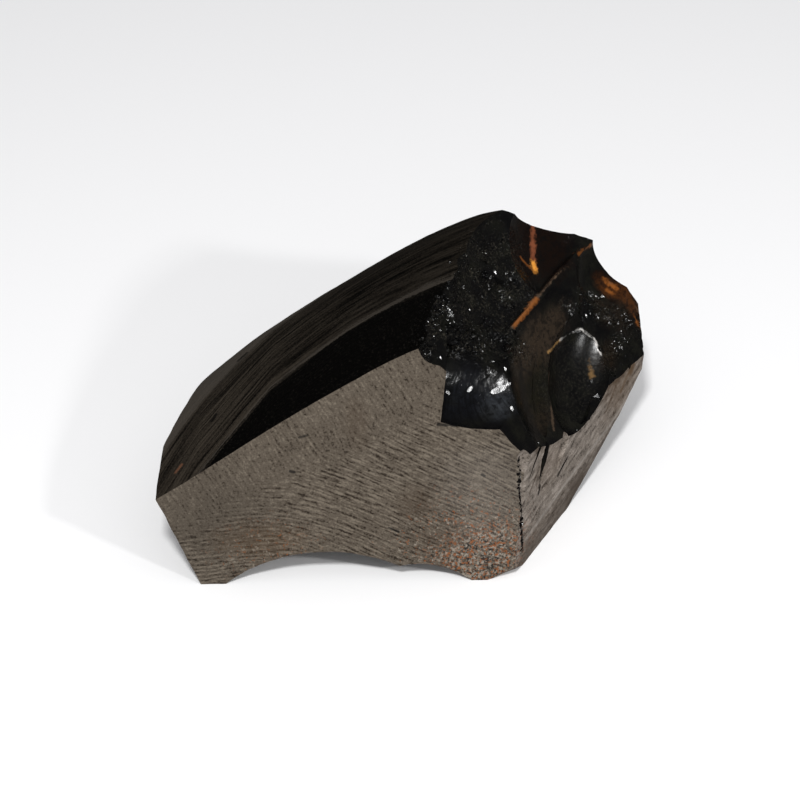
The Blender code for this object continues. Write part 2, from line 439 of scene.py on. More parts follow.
def newCutters(name):
    # the collection joins the scene only when it cuts, so that the scene stays light meanwhile
    return bpy.data.collections.new(name)


def cutAway(stone, cutters):
    # one Boolean takes every shape of the collection away, and its faces keep their own finish
    bpy.context.scene.collection.children.link(cutters)
    selectOnly(stone)
    step = stone.modifiers.new("cut", "BOOLEAN")
    step.solver = "MANIFOLD"
    step.operation = "DIFFERENCE"
    step.operand_type = "COLLECTION"
    step.collection = cutters
    step.material_mode = "TRANSFER"
    bpy.ops.object.modifier_apply(modifier=step.name)
    for cutter in list(cutters.objects):
        bpy.data.objects.remove(cutter)
    bpy.data.collections.remove(cutters)


# Chips and splinters, knocked out along the edges and the crushed bands.  Each band has the
# number of its chips, how far they scatter, the range of their radius and depth, and its path:
# along and up the broken end, or in space where the way that the band faces is given first.
chipBands = {
    "roofEdge": (60, 0.9, (0.4, 1.3), (0.08, 0.30), None,
                 [(-7.3, 18.6), (-13.2, 17.4), (-19.0, 15.8), (-23.2, 15.0)]),
    "darkBand": (90, 1.0, (0.4, 1.5), (0.08, 0.35), None,
                 [(-17.6, 11.5), (-12.3, 8.6), (-7.5, 5.5), (-6.0, 1.5), (-12.0, 2.6)]),
    "glintBand": (80, 1.3, (0.5, 1.8), (0.08, 0.4), None,
                  [(9.0, -0.4), (14.0, -3.0), (16.5, -8.0), (17.5, -13.0)]),
    "upperMottle": (34, 2.2, (1.2, 3.0), (0.06, 0.18), None, [(-1, 14), (-4, 10), (2, 8)]),
    "rightRim": (50, 0.8, (0.3, 1.0), (0.08, 0.3), None,
                 [(-14.0, -14.2), (-4, -15.0), (5, -15.4), (19, -15.5)]),
    "toeTip": (20, 0.8, (0.4, 1.2), (0.1, 0.35), None, [(-19.0, -13.2), (-15.0, -14.0)]),
    "corner": (70, 0.10, (0.15, 0.42), (0.06, 0.18), (30, 5),
               [(17.6, -13.2, 19.8), (17.4, -14.1, 15.5), (17.8, -14.9, 9.3), (18.3, -15.3, 3.0)]),
}
chipSeed = 11
chipDrop = 12      # how far above the band a chip starts to fall
chipTilt = 0.35    # how far a chip leans from the surface
chipStretch = (0.7, 1.8)


def alongPath(points, share):
    lengths = [(b - a).length for a, b in zip(points, points[1:])]
    left = share * sum(lengths)
    for a, b, length in zip(points, points[1:], lengths):
        if left <= length:
            return a.lerp(b, left / length)
        left -= length
    return points[-1]


def scatterChips(stone, row, look, owner, dice):
    # each chip is dropped on the surface, against the way that the band faces
    count, spread, radii, sinks, way, path = row
    blank = newPiece(bpy.ops.mesh.primitive_ico_sphere_add, subdivisions=1)
    blank.name = "chipBlank"
    onEndOnly = way is None
    points = [onEnd(*point) if onEndOnly else Vector(point) for point in path]
    way = endNormal if onEndOnly else facing(*way)
    for _ in range(count):
        spot = alongPath(points, dice.random()) + Vector([dice.gauss(0, spread) for _ in range(3)])
        start = toScene(spot + way * chipDrop)
        hit, where, normal, face = stone.ray_cast(start, -way, distance=2.5 * chipDrop * mm)
        if not hit:
            continue
        if onEndOnly and stone.data.materials[stone.data.polygons[face].material_index] != look:
            continue
        radius = dice.uniform(*radii)
        sink = dice.uniform(*sinks)
        outward = (normal + Vector([dice.gauss(0, chipTilt) for _ in range(3)])).normalized()
        chip = blank.copy()
        chip.data = blank.data.copy()
        stretch = Matrix.Diagonal((radius * dice.uniform(*chipStretch) * mm, radius * mm, radius * mm, 1))
        spin = Matrix.Rotation(dice.uniform(0, math.tau), 4, "Z")
        turned = outward.to_track_quat("Z", "Y").to_matrix().to_4x4()
        middle = Matrix.Translation(where + outward * (radius - sink) * mm)
        chip.data.transform(middle @ turned @ spin @ stretch)
        chip.data.materials.append(look)
        owner.objects.link(chip)
    bpy.data.objects.remove(blank)


# Small flat facets that glint: the way that a set faces, then where the long axis of each
# facet starts and ends, and its half width.
glints = {
    "front": ((-0.04, -0.65, 0.76), [
        ((12.8, -2.3, 28.5), (14.4, -3.8, 26.7), 0.55), ((13.2, -5.2, 25.7), (15.7, -4.3, 26.3), 0.50),
        ((9.8, -5.3, 26.0), (10.7, -4.5, 26.4), 0.30), ((16.1, -7.1, 24.9), (16.7, -7.4, 24.1), 0.30),
        ((15.3, -1.4, 27.7), (15.8, -1.6, 26.8), 0.20), ((15.1, 0.6, 27.6), (15.7, 0.6, 27.6), 0.22),
        ((13.3, -1.7, 28.9), (13.9, -1.7, 28.9), 0.20), ((17.5, 4.4, 25.7), (18.1, 4.4, 25.7), 0.22),
        ((18.4, 6.5, 25.7), (19.0, 6.5, 25.7), 0.22), ((12.9, 3.9, 30.0), (13.6, 3.9, 30.0), 0.35),
        ((9.5, 0.2, 32.8), (10.1, 0.2, 32.8), 0.22), ((9.0, 6.6, 36.3), (9.8, 6.6, 36.1), 0.30),
        ((2.5, -7.2, 37.4), (3.4, -7.2, 37.4), 0.40), ((5.0, 1.4, 38.4), (5.8, 1.4, 38.4), 0.38),
        ((7.0, 4.7, 38.9), (7.2, 3.6, 38.8), 0.25), ((7.2, 9.0, 38.9), (7.6, 9.0, 38.9), 0.22),
        ((10.3, 6.8, 34.5), (10.8, 6.8, 34.3), 0.24), ((10.2, 4.6, 33.7), (10.6, 3.9, 33.0), 0.16),
        ((10.4, 1.9, 32.1), (11.0, 1.9, 31.9), 0.25), ((16.5, 13.5, 32.7), (17.0, 13.5, 32.5), 0.26),
        ((12.6, 13.5, 35.8), (13.2, 13.1, 35.3), 0.18), ((14.0, 13.2, 34.6), (14.5, 12.8, 34.0), 0.16),
        ((15.9, -3.9, 26.5), (16.3, -3.9, 26.3), 0.24), ((17.8, 3.9, 25.4), (18.3, 3.9, 25.2), 0.20)]),
    "right": ((0.36, -0.69, 0.63), [
        ((6.7, -5.7, 26.7), (7.4, -6.2, 26.2), 0.30), ((29.5, 24.7, 21.4), (31.7, 25.0, 20.1), 0.80),
        ((26.5, 15.6, 20.7), (28.4, 16.3, 20.3), 0.15), ((28.4, 16.3, 20.3), (30.2, 15.7, 19.2), 0.20),
        ((30.2, 15.7, 19.2), (31.2, 13.9, 17.9), 0.24), ((28.1, 17.8, 22.3), (28.9, 17.5, 20.9), 0.20),
        ((29.6, 10.5, 15.6), (29.8, 9.5, 15.3), 0.25), ((34.9, 22.6, 18.6), (35.4, 22.6, 18.4), 0.25)]),
}
glintSink = 0.12


def placeGlints(row, look, owner):
    way, spots = row
    normal = Vector(way).normalized()
    for start, end, width in spots:
        start, end = Vector(start), Vector(end)
        sideways = (end - start) - normal * (end - start).dot(normal)
        half = sideways.length / 2
        sideways.normalize()
        piece = newPiece(bpy.ops.mesh.primitive_cylinder_add, vertices=8)
        axes = Matrix((sideways, normal.cross(sideways), normal)).transposed()
        setDown(piece, (start + end) / 2 + normal * (1 - glintSink), axes, (half, width, 1))
        finishWith(piece, look, owner)


# Narrow cracks that open at an edge and taper to nothing: the open end, the tip, the half
# width and the depth at the open end, and the way that the surface there faces.
cracks = [
    ((29.3, 7.2, 15.2), (23.9, -5.6, 9.9), 0.85, 1.3, (58, 4)),
    ((28.2, 5.2, 15.9), (23.9, -4.2, 13.4), 0.35, 0.8, (58, 10)),
    ((22.2, -7.2, 18.6), (20.6, -10.5, 10.6), 0.80, 1.1, (58, 6)),
    ((20.9, -8.9, 19.2), (18.7, -12.9, 15.0), 0.45, 0.7, (50, 10)),
]


def makeCrack(row, look, owner):
    start, tip, halfWidth, depth, way = row
    start, tip = Vector(start), Vector(tip)
    along = (tip - start).normalized()
    sideways = along.cross(facing(*way)).normalized()
    piece = newPiece(bpy.ops.mesh.primitive_cone_add, vertices=8, radius1=1, radius2=0.02, depth=1)
    axes = Matrix((sideways, along.cross(sideways), along)).transposed()
    setDown(piece, (start + tip) / 2, axes, (halfWidth, depth, (tip - start).length))
    with editing():
        bpy.ops.mesh.select_all(action="SELECT")
        bpy.ops.mesh.subdivide(number_cuts=6)
    roughen(piece, 0.35, 1.2)
    applyModifiers(piece)
    finishWith(piece, look, owner)


class NodeSheet:
    # a node tree with short ways to add to it, called n in all that follows

    def __init__(self, tree):
        self.tree = tree

    def add(self, kind, settings=None, inputs=None):
        node = self.tree.nodes.new("ShaderNode" + kind)
        for name, value in (settings or {}).items():
            setattr(node, name, value)
        for name, value in (inputs or {}).items():
            self.connect(value, node.inputs[name])
        return node

    def connect(self, value, socket):
        if isinstance(value, bpy.types.NodeSocket):
            self.tree.links.new(value, socket)
        elif socket.type == "RGBA":
            socket.default_value = (*value, 1)
        else:
            socket.default_value = value

    def calc(self, operation, *values, kind="Math", result=0, **settings):
        node = self.add(kind, {"operation": operation, **settings})
        for value, socket in zip(values, node.inputs):
            self.connect(value, socket)
        return node.outputs[result]

    def vector(self, operation, *values):
        result = "Value" if operation in ("LENGTH", "DISTANCE", "DOT_PRODUCT") else "Vector"
        return self.calc(operation, *values, kind="VectorMath", result=result)

    def times(self, first, second):
        return self.calc("MULTIPLY", first, second)

    def minus(self, first, second):
        return self.calc("SUBTRACT", first, second)

    def mix(self, *parts, start=0.0):
        # the sum of the parts, each times its weight
        for part, weight in parts:
            start = self.calc("MULTIPLY_ADD", part, weight, start)
        return start

    def split(self, vector):
        return self.add("SeparateXYZ", {}, {"Vector": vector}).outputs

    def blend(self, factor, under, over):
        node = self.add("Mix", {"data_type": "RGBA", "clamp_factor": True}, {"Factor": factor})
        self.connect(under, node.inputs[6])
        self.connect(over, node.inputs[7])
        return node.outputs[2]

    def paint(self, under, over, mask, strength):
        # lays one colour over another where the mask is
        return self.blend(self.times(mask, strength), under, over)

    def ramp(self, value, low, high, fromValue=0.0, toValue=1.0):
        # smooth step of the value from low to high
        settings = {"interpolation_type": "SMOOTHSTEP", "clamp": True}
        inputs = {"Value": value, "From Min": low, "From Max": high, "To Min": fromValue, "To Max": toValue}
        return self.add("MapRange", settings, inputs).outputs["Result"]

    def noise(self, vector, scale, detail, roughness, distortion=0.0):
        inputs = {"Vector": vector, "Scale": scale, "Detail": detail, "Roughness": roughness,
                  "Distortion": distortion}
        return self.add("TexNoise", {}, inputs).outputs["Fac"]

    def flowNoise(self, along, across, scales, detail, roughness, distortion=0.0):
        # noise drawn out along a flow: scales are the scale along it and the scale across it
        flow = {"X": self.times(along, scales[0]), "Y": self.times(across, scales[1])}
        vector = self.add("CombineXYZ", {}, flow).outputs[0]
        return self.noise(vector, 1.0, detail, roughness, distortion)

    def placed(self, vector, location=(0, 0, 0), rotation=(0, 0, 0), scale=(1, 1, 1)):
        inputs = {"Vector": vector, "Location": location, "Rotation": rotation, "Scale": scale}
        return self.add("Mapping", {}, inputs).outputs[0]

    def inFrame(self, origin=(0, 0, 0), axes=Matrix.Identity(3)):
        # millimetres from the origin along the three axes, which are the whole stone's by default
        local = self.add("TexCoord").outputs["Object"]
        start = -(axes @ (Vector(origin) - footprintMiddle))
        return self.placed(local, start, axes.to_euler(), (1 / mm,) * 3)

    def group(self, name, **inputs):
        node = self.add("Group")
        node.node_tree = groups[name]
        for label, value in inputs.items():
            self.connect(value, node.inputs[label])
        return node.outputs

    def spot(self, vector, at, size, soft=0.4, ragged=0.3, detail=0.3):
        return self.group("spot", Vector=vector, Centre=at, Size=size, Soft=soft, Ragged=ragged,
                          Detail=detail)["Mask"]

    def streak(self, vector, start, end, width, soft, ragged, detail):
        return self.group("streak", Vector=vector, From=start, To=end, Width=width, Soft=soft, Ragged=ragged,
                          Detail=detail)["Mask"]


# Groups of nodes that the finishes use again and again.


def newGroup(name, inputs, outputs):
    # inputs gives what each starts with, one number or three, after the vector that all groups take
    tree = bpy.data.node_groups.new(name, "ShaderNodeTree")
    for label, value in {"Vector": (0, 0, 0), **inputs}.items():
        kind = "NodeSocketVector" if isinstance(value, tuple) else "NodeSocketFloat"
        tree.interface.new_socket(label, in_out="INPUT", socket_type=kind).default_value = value
    for label in outputs:
        tree.interface.new_socket(label, in_out="OUTPUT", socket_type="NodeSocketFloat")
    given, result = tree.nodes.new("NodeGroupInput").outputs, tree.nodes.new("NodeGroupOutput").inputs
    return NodeSheet(tree), given, result


edgeInputs = {"Soft": 0.3, "Ragged": 0.3, "Detail": 1.0}


def raggedEdge(n, given, distance):
    # 1 within a distance of 1 and 0 beyond it, across a soft and ragged edge
    grain = n.minus(n.noise(given["Vector"], given["Detail"], 4.0, 0.6), 0.5)
    distance = n.mix((n.times(grain, given["Ragged"]), 2.0), start=distance)
    inner, outer = n.minus(1.0, given["Soft"]), n.calc("ADD", 1.0, given["Soft"])
    return n.ramp(distance, inner, outer, 1.0, 0.0)


def spotGroup():
    inputs = {"Centre": (0, 0, 0), "Size": (1, 1, 1), **edgeInputs}
    n, given, result = newGroup("softSpot", inputs, ["Mask"])
    away = n.vector("SUBTRACT", given["Vector"], given["Centre"])
    distance = n.vector("LENGTH", n.vector("DIVIDE", away, given["Size"]))
    n.connect(raggedEdge(n, given, distance), result["Mask"])
    return n.tree


def streakGroup():
    # a line from one point to another
    inputs = {"From": (0, 0, 0), "To": (0, 0, 0), "Width": 1.0, **edgeInputs}
    n, given, result = newGroup("softStreak", inputs, ["Mask"])
    start = n.vector("SUBTRACT", given["Vector"], given["From"])
    whole = n.vector("SUBTRACT", given["To"], given["From"])
    ahead, length = (n.vector("DOT_PRODUCT", way, whole) for way in (start, whole))
    share = n.calc("DIVIDE", ahead, length, use_clamp=True)
    distance = n.vector("DISTANCE", start, n.vector("MULTIPLY", whole, share))
    distance = n.calc("DIVIDE", distance, given["Width"])
    n.connect(raggedEdge(n, given, distance), result["Mask"])
    return n.tree


def specksGroup():
    # scattered grains: the share of the surface that they cover grows with Amount
    n, given, result = newGroup("specks", {"Scale": 2.0, "Amount": 0.3}, ["Mask"])
    fine = n.noise(given["Vector"], given["Scale"], 5.0, 0.65)
    limit = n.mix((given["Amount"], -0.35), start=0.78)
    n.connect(n.ramp(fine, limit, n.calc("ADD", limit, 0.05)), result["Mask"])
    return n.tree


def facetGroup():
    # small flat facets, each tilted its own way, for crushed glassy stone
    n, given, result = newGroup("crushedFacets", {"Scale": 1.0}, ["Height", "Tint"])
    inputs = {"Vector": given["Vector"], "Scale": given["Scale"], "Randomness": 1.0}
    cells = n.add("TexVoronoi", {"feature": "F1"}, inputs).outputs
    inCell = n.vector("SUBTRACT", given["Vector"], cells["Position"])
    lean = n.vector("SUBTRACT", cells["Color"], (0.5, 0.5, 0.5))
    n.connect(n.vector("DOT_PRODUCT", inCell, lean), result["Height"])
    n.connect(n.add("SeparateColor", {}, {"Color": cells["Color"]}).outputs[0], result["Tint"])
    return n.tree


def hackleGroup():
    # fine lines that fan out from the strike point
    n, given, result = newGroup("hackleLines", {"Strike": (0, 0, 0), "Lines": 12.0}, ["Height"])
    away = n.vector("SUBTRACT", given["Vector"], given["Strike"])
    parts = n.split(away)
    angle = n.calc("ARCTAN2", parts["Y"], parts["X"])
    distance = n.vector("LENGTH", away)
    lines = n.flowNoise(angle, distance, (given["Lines"], 0.16), 4.0, 0.6, 0.15)
    n.connect(lines, result["Height"])
    return n.tree


groups = {"spot": spotGroup(), "streak": streakGroup(), "specks": specksGroup(), "facets": facetGroup(),
          "hackle": hackleGroup()}


# The finishes.


def makeLook(name, surface, finish):
    # surface gives the colour, the roughness and the height, and height may be None
    look = bpy.data.materials.new(name)
    look.use_nodes = True
    shader = look.node_tree.nodes["Principled BSDF"]
    n = NodeSheet(look.node_tree)
    colour, rough, height = surface(n, finish)
    n.connect(colour, shader.inputs["Base Color"])
    n.connect(rough, shader.inputs["Roughness"])
    if height is not None:
        bump = n.add("Bump", {}, {"Height": height, "Strength": 1.0, "Distance": mm})
        n.connect(bump.outputs[0], shader.inputs["Normal"])
    for label, value in finish.get("shader", {}).items():
        shader.inputs[label].default_value = value
    return look


def threeTones(n, finish, tone, dark, pale):
    # dark and pale give where the tone starts to turn darker or paler, and where it is so in full
    colour = n.blend(n.ramp(tone, *dark), finish["colour"], finish["darkColour"])
    return n.blend(n.ramp(tone, *pale), colour, finish["paleColour"])


# Marks on the stone: dark lines, pits, blotches and stains, and on the right side one pale line
# that is a painted highlight.  A line has its width, colour, strength, raggedness and points, a
# patch its middle, size, colour and strength.
black = (0.006, 0.005, 0.004)
brown = (0.050, 0.030, 0.016)
golden = (0.10, 0.055, 0.022)
palest = (0.30, 0.27, 0.24)
cornerLine = (0.20, black, 0.8, 1.6,
              [(17.6, -13.3, 19.6), (17.4, -14.1, 15.5), (17.9, -14.9, 9.3), (18.5, -15.4, 3.2)])
frontMarks = {
    "lines": [
        cornerLine,
        (0.25, black, 0.8, 1.0, [(5.5, -11.9, 25.3), (15.0, -12.2, 24.9), (17.8, -12.9, 21.3)]),
        (0.16, black, 0.9, 0.7, [(-1.7, -16.2, 9.0), (-0.2, -16.2, 8.2)]),
        (0.22, black, 0.8, 0.7, [(-16.0, -14.1, 18.3), (-15.4, -14.1, 18.1)]),
        (0.18, black, 0.7, 0.7, [(-14.6, -12.7, 23.6), (-13.4, -12.7, 23.9)]),
        (0.20, black, 0.9, 0.7, [(12.0, -13.7, 17.3), (12.3, -13.7, 17.1)]),
        (0.12, black, 0.7, 0.7, [(-26.6, -17.0, 8.5), (-25.2, -17.0, 8.5)]),
    ],
    "patches": [
        ((2.5, -14.9, 13.0), (2.6, 5, 2.4), brown, 0.35),
        ((-6.2, -11.8, 26.0), (1.6, 5, 3.4), brown, 0.32),
        ((6.0, -15.5, 7.0), (3.5, 5, 1.6), brown, 0.30),
        ((-21.0, -16.9, 7.2), (5.5, 5, 2.6), golden, 0.30),
        ((12.5, -14.5, 15.0), (6.0, 6, 6.5), palest, 0.13),
        ((13.0, -16.5, 5.0), (6.0, 6, 4.5), palest, 0.04),
        ((-27.0, -16.5, 10.0), (8.0, 6, 7.0), (0.040, 0.032, 0.023), 0.28),
    ],
}
rightMarks = {
    "lines": [
        cornerLine,
        # a pale line along the edge above the foot: a painted highlight
        (0.30, palest, 0.55, 0.9, [(18.8, -14.3, 4.9), (26.8, -1.2, 6.9), (32.8, 8.5, 7.7), (37, 15.5, 9.5)]),
        (0.32, black, 0.9, 0.7, [(29.2, 7.0, 15.0), (23.9, -5.6, 9.9)]),
        (0.30, black, 0.9, 0.7, [(22.2, -7.2, 18.4), (20.6, -10.5, 10.6)]),
        (3.0, brown, 0.45, 0.8, [(19.5, -14, 2), (28, -1, 2.6), (34, 8.5, 3.6), (38, 15, 5)]),
        (1.3, brown, 0.70, 1.2, [(38.5, 19.5, 20), (33, 12, 14.8), (27, 2.5, 15), (20, -9.5, 19.5)]),
        (0.9, golden, 0.9, 0.7, [(37.6, 17.5, 19.0), (36.2, 15.0, 13.5)]),
        (0.40, golden, 0.6, 0.7, [(36.0, 14.6, 14.0), (34.4, 12.0, 11.8)]),
        (0.25, brown, 0.6, 0.7, [(33.6, 10.4, 14.0), (32.0, 7.6, 11.2)]),
        (0.22, brown, 0.6, 0.7, [(21.0, -9.6, 15.6), (19.2, -12.6, 12.6)]),
    ],
    "patches": [
        ((22.5, -7.0, 14.0), (3.0, 4.0, 4.0), golden, 0.22),
        ((34.5, 12.0, 13.5), (4.0, 6.0, 4.5), golden, 0.45),
    ],
}
skinMarks = {
    "lines": [
        (0.35, black, 0.95, 0.7, [(-27.9, -4.1, 19.4), (-27.5, -3.2, 19.8)]),
        (0.30, (0.12, 0.055, 0.03), 0.8, 0.7, [(-33.0, -11.8, 16.1), (-32.2, -10.8, 16.6)]),
        (0.35, black, 0.9, 0.7, [(-24.6, 8.7, 20.4), (-23.6, 9.9, 21.2)]),
    ],
    "patches": [],
}


def addMarks(n, plain, colour, marks):
    for width, tint, strength, ragged, points in marks["lines"]:
        for start, end in zip(points, points[1:]):
            mask = n.streak(plain, start, end, width, 0.45, ragged, 1.2)
            colour = n.paint(colour, tint, mask, strength)
    for at, size, tint, strength in marks["patches"]:
        colour = n.paint(colour, tint, n.spot(plain, at, size, 0.7, 0.6, 0.5), strength)
    return colour


# Where rust, black and white grains are scattered: the middle and size of each spot, and how
# thickly they lie there.
rustSpots = [
    ((12.5, -17, 3.5), (6.5, 8, 5.6), 0.80),
    ((10.5, -17, 8.0), (8.5, 8, 6.5), 0.58),
    ((4.0, -17, 5), (7.5, 8, 4.5), 0.44),
    ((-20, -18, 6), (7, 8, 4.5), 0.55),
    ((28, 2, 12), (6, 7, 5), 0.25),
]
# The scale, shift and colour of each kind of grain, its share of the thickness, its strength.
grains = [
    (1.9, (13, 5, 2), (0.30, 0.26, 0.21), 1.0, 0.7),
    (2.2, (0, 0, 0), (0.23, 0.070, 0.015), 0.92, 1.0),
    (2.3, (7, 3, 5), (0.008, 0.006, 0.005), 0.90, 0.95),
]


def addRust(n, plain, colour):
    for at, size, amount in rustSpots:
        zone = n.spot(plain, at, size, 0.65, 0.5, 0.4)
        for scale, shift, tint, share, strength in grains:
            moved = n.placed(plain, shift)
            specks = n.group("specks", Vector=moved, Scale=scale, Amount=amount * share)["Mask"]
            colour = n.paint(colour, tint, n.times(zone, specks), strength)
    return colour


ribbedFinish = {
    "colour": (0.093, 0.074, 0.054),
    "darkColour": (0.021, 0.013, 0.007),
    "paleColour": (0.162, 0.134, 0.101),
    "ribSpacing": 0.72,
    "ribDepth": 0.035,
    "grainDepth": 0.05,
    "roughness": 0.6,
    "shader": {"Specular IOR Level": 0.3},
    "climb": 0.12,         # the lower ribs climb a little up to the bend, then fall to the right
    "fall": -0.50,
    "bendAt": -16.0,
    "bendWidth": 5.0,
    "edgeFrom": (-34.0, -15.0, 15.0),   # the upper ribs stand square to the edge with the roof
    "edgeTo": (5.0, -8.9, 36.0),
    "edgeSlope": 31.6,
    "edgeBand": 6.6,
}


def ribLines(n, along, across, spacing):
    # lines a spacing apart, bent and broken into dashes
    bend = n.flowNoise(along, across, (0.10, 0.28), 3.0, 0.6)
    wave = n.calc("SINE", n.mix((across, math.tau / spacing), (bend, 22.0)))
    return n.mix((wave, 0.08), start=n.flowNoise(along, across, (0.42, 2.7), 4.0, 0.65, 0.35))


def ribHeights(n, finish, plain):
    parts = n.split(plain)
    fromBend = n.minus(parts["X"], finish["bendAt"])
    # a hyperbola: its two straight arms are the climb and the fall
    root = n.calc("SQRT", n.mix((fromBend, fromBend), start=finish["bendWidth"]**2))
    arms = n.mix((root, (finish["fall"] - finish["climb"]) / 2),
                 (fromBend, (finish["climb"] + finish["fall"]) / 2))
    arcs = ribLines(n, n.times(parts["X"], 1.1), n.minus(parts["Z"], arms), finish["ribSpacing"])
    square = n.split(n.placed(plain, rotation=(0, math.radians(finish["edgeSlope"]), 0)))
    bars = ribLines(n, square["Z"], square["X"], finish["ribSpacing"] * 1.1)
    bars = n.mix((bars, 0.45), start=0.275)
    edge = n.streak(plain, finish["edgeFrom"], finish["edgeTo"], finish["edgeBand"], 0.4, 0.5, 0.2)
    return n.mix((edge, n.minus(bars, arcs)), start=arcs)


def ribbedSurface(n, finish):
    # the front: fine dark and pale ribs
    plain = n.inFrame()
    ribs = ribHeights(n, finish, plain)
    patchy = n.noise(plain, 0.16, 4.0, 0.6)
    mottle = n.noise(plain, 1.5, 4.0, 0.65)
    fine = n.noise(plain, 3.6, 3.0, 0.75)
    tone = n.mix((mottle, 0.45), (fine, 0.80), (patchy, 0.25), start=ribs)
    colour = threeTones(n, finish, tone, (1.27, 1.46), (1.23, 1.04))
    colour = addMarks(n, plain, addRust(n, plain, colour), frontMarks)
    height = n.mix((mottle, -finish["grainDepth"]), (ribs, -finish["ribDepth"]), (fine, -0.02))
    return colour, finish["roughness"], height


grainedFinish = {
    "colour": (0.175, 0.146, 0.120),
    "darkColour": (0.040, 0.030, 0.022),
    "paleColour": (0.290, 0.250, 0.215),
    "roughness": 0.6,
    "grainRise": 0.11,     # how steeply the grain climbs towards the back
}


def grainedSurface(n, finish):
    # the right side: fine grain that runs back and slightly up
    plain = n.inFrame()
    parts = n.split(plain)
    along = n.mix((parts["Y"], 0.85), (parts["X"], 0.53))
    across = n.mix((along, -finish["grainRise"]), start=parts["Z"])
    grain = n.flowNoise(along, across, (0.22, 1.1), 5.0, 0.68, 0.3)
    mottle = n.noise(plain, 0.9, 5.0, 0.65)
    fine = n.noise(plain, 4.6, 3.0, 0.7)
    tone = n.mix((fine, 0.65), (mottle, 0.5), (grain, 0.9))
    colour = threeTones(n, finish, tone, (1.04, 1.20), (1.00, 0.86))
    colour = addMarks(n, plain, addRust(n, plain, colour), rightMarks)
    height = n.mix((fine, -0.02), (mottle, -0.06), (grain, -0.07))
    return colour, finish["roughness"], height


# glossFinish and the tinted patches, lines and hackles below are in the broken end's own millimetres: along,
# up and out.
glossFinish = {
    "colour": (0.0022, 0.0022, 0.0025),
    "green": (0.0075, 0.0075, 0.0054),
    "speckle": (0.050, 0.045, 0.034),
    "roughness": 0.10,
    "shader": {"IOR": 1.36},
    "satin": [   # the less polished hollows, the front bite and the inner shell: middle, size, more
        ((-18.5, 3.0, -4), (8, 6.5, 7), 0.09),
        ((1.0, -9.5, -3), (10, 5.5, 5), 0.19),
    ],
    "crushed": [   # where the glass is shattered fine: from, to and width
        ((-18, 11.5, -1), (-9, 6.0, -2), 2.6),
        ((-9, 6.0, -2), (-4.5, 0.0, -3), 2.0),
        ((-6, 1.5, -2), (-13, 2.2, -3), 1.8),
        ((-8, 18.0, 0), (-24, 15.0, 0), 2.6),
        ((9.0, -0.6, -2), (14.5, -4.0, -3), 1.8),
        ((14.5, -4.0, -3), (17.5, -13.0, -2), 2.4),
        ((3.0, 16.0, -1), (-2.0, 11.0, -2), 1.0),
        ((16.0, -12.0, -1.5), (8.5, -13.0, -1.5), 1.5),
    ],
    "upper": ((-3, 11, 0), (13, 7.5, 8)),          # the shattered upper left, and the inner
    "shell": ((1.0, -9.5, -3), (10, 5.0, 5)),      # shell, each with a grey speckle
    "crushedDepth": 0.75,
    "speckleDepth": 0.48,
    "frost": 0.20,         # how much rougher most of the small facets are
}

# Tinted patches, two of which are a painted sheen on the front bite: middle, size, colour, strength, and how
# soft the edge is.
tintsAndPaintedSheen = [
    ((13.5, 8.0, -2), (6.5, 6.0, 6), (0.0065, 0.0030, 0.0020), 0.9, 0.35),
    ((-2.0, -1.5, -3), (10, 3.6, 6), (0.030, 0.021, 0.014), 0.9, 0.35),
    ((-10.5, -6.5, -3), (4.5, 3.6, 6), (0.020, 0.014, 0.009), 0.9, 0.35),
    ((-7.0, -5.6, -3), (6.0, 3.0, 5), (0.0075, 0.0070, 0.0040), 0.9, 0.6),
    ((9.5, -12.0, -2), (2.6, 1.6, 4), (0.022, 0.013, 0.006), 0.6, 0.8),
    ((21.3, -8.0, -1), (1.9, 3.8, 4), (0.065, 0.022, 0.006), 0.9, 0.6),
    ((17.0, -9.0, -3), (2.5, 3.0, 5), (0.024, 0.016, 0.010), 0.6, 0.8),
    # the next two paint reflection on the front bite, not stone colour: a pale blue-grey sheen and a bluish
    # dark
    ((-17.4, -0.6, -1.0), (2.2, 1.8, 2.5), (0.040, 0.044, 0.050), 0.8, 0.95),
    ((-18.8, 3.6, -3.6), (3.6, 2.6, 3), (0.007, 0.008, 0.011), 0.9, 0.9),
]
